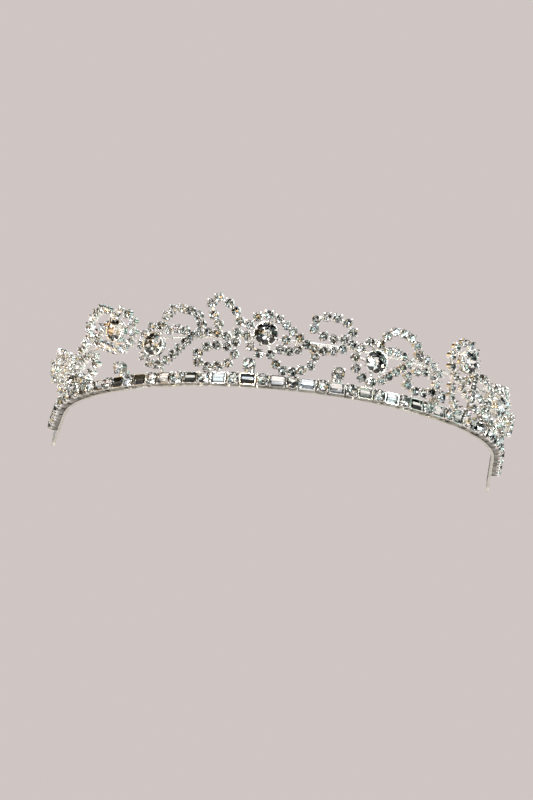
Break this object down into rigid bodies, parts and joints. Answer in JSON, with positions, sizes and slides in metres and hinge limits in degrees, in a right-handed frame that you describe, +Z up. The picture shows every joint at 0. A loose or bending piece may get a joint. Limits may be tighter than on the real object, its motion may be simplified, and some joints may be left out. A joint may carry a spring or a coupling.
{
  "type": "bridal tiara",
  "caption": "Open metal headband set with a row of round and baguette crystals, carrying a wire-backed frieze of crystal flowers, leaf loops and single raised stones.",
  "frame": {"origin": "Centre of the band's arc, on the plane of the band's lower edge.", "axes": "+Z up through the wearer's head, -Y is the front of the tiara, +X is to the right of somebody facing the wearer."},
  "size_m": [0.1486, 0.1136, 0.0269],
  "materials": {
    "silver_plate": "polished silver plate",
    "band_strip": "silver-plated spring strip, lightly brushed",
    "round_crystal": "clear foil-backed crystal, faceted",
    "baguette_crystal": "clear foil-backed crystal, step cut",
    "small_crystal": "clear foil-backed crystal, faceted",
    "centre_crystal": "clear foil-backed crystal, faceted"
  },
  "bodies": {
    "root": {"headband": "band_strip", "left_hairpin_eyelet": "band_strip", "right_hairpin_eyelet": "band_strip", "row_round_cups": "silver_plate", "baguette_trays": "silver_plate", "accent_cups": "silver_plate", "accent_posts": "silver_plate", "solder_posts": "silver_plate", "gallery_wire": "silver_plate", "row_round_stones": "round_crystal", "accent_stones": "round_crystal", "baguette_stones": "baguette_crystal", "flower_1_frame": "silver_plate", "flower_1_small_stones": "small_crystal", "flower_1_setting": "silver_plate", "flower_1_centre_stone": "centre_crystal", "flower_2_frame": "silver_plate", "flower_2_small_stones": "small_crystal", "flower_2_setting": "silver_plate", "flower_2_centre_stone": "centre_crystal", "flower_3_frame": "silver_plate", "flower_3_small_stones": "small_crystal", "flower_3_setting": "silver_plate", "flower_3_centre_stone": "centre_crystal", "flower_4_frame": "silver_plate", "flower_4_small_stones": "small_crystal", "flower_4_setting": "silver_plate", "flower_4_centre_stone": "centre_crystal", "flower_5_frame": "silver_plate", "flower_5_small_stones": "small_crystal", "flower_5_setting": "silver_plate", "flower_5_centre_stone": "centre_crystal", "flower_6_frame": "silver_plate", "flower_6_small_stones": "small_crystal", "flower_6_setting": "silver_plate", "flower_6_centre_stone": "centre_crystal", "flower_7_frame": "silver_plate", "flower_7_small_stones": "small_crystal", "flower_7_setting": "silver_plate", "flower_7_centre_stone": "centre_crystal", "flower_8_frame": "silver_plate", "flower_8_small_stones": "small_crystal", "flower_8_setting": "silver_plate", "flower_8_centre_stone": "centre_crystal", "branch_1_frame": "silver_plate", "branch_1_small_stones": "small_crystal", "branch_2_frame": "silver_plate", "branch_2_small_stones": "small_crystal", "branch_3_frame": "silver_plate", "branch_3_small_stones": "small_crystal", "branch_4_frame": "silver_plate", "branch_4_small_stones": "small_crystal", "branch_5_frame": "silver_plate", "branch_5_small_stones": "small_crystal"}
  },
  "joints": []
}
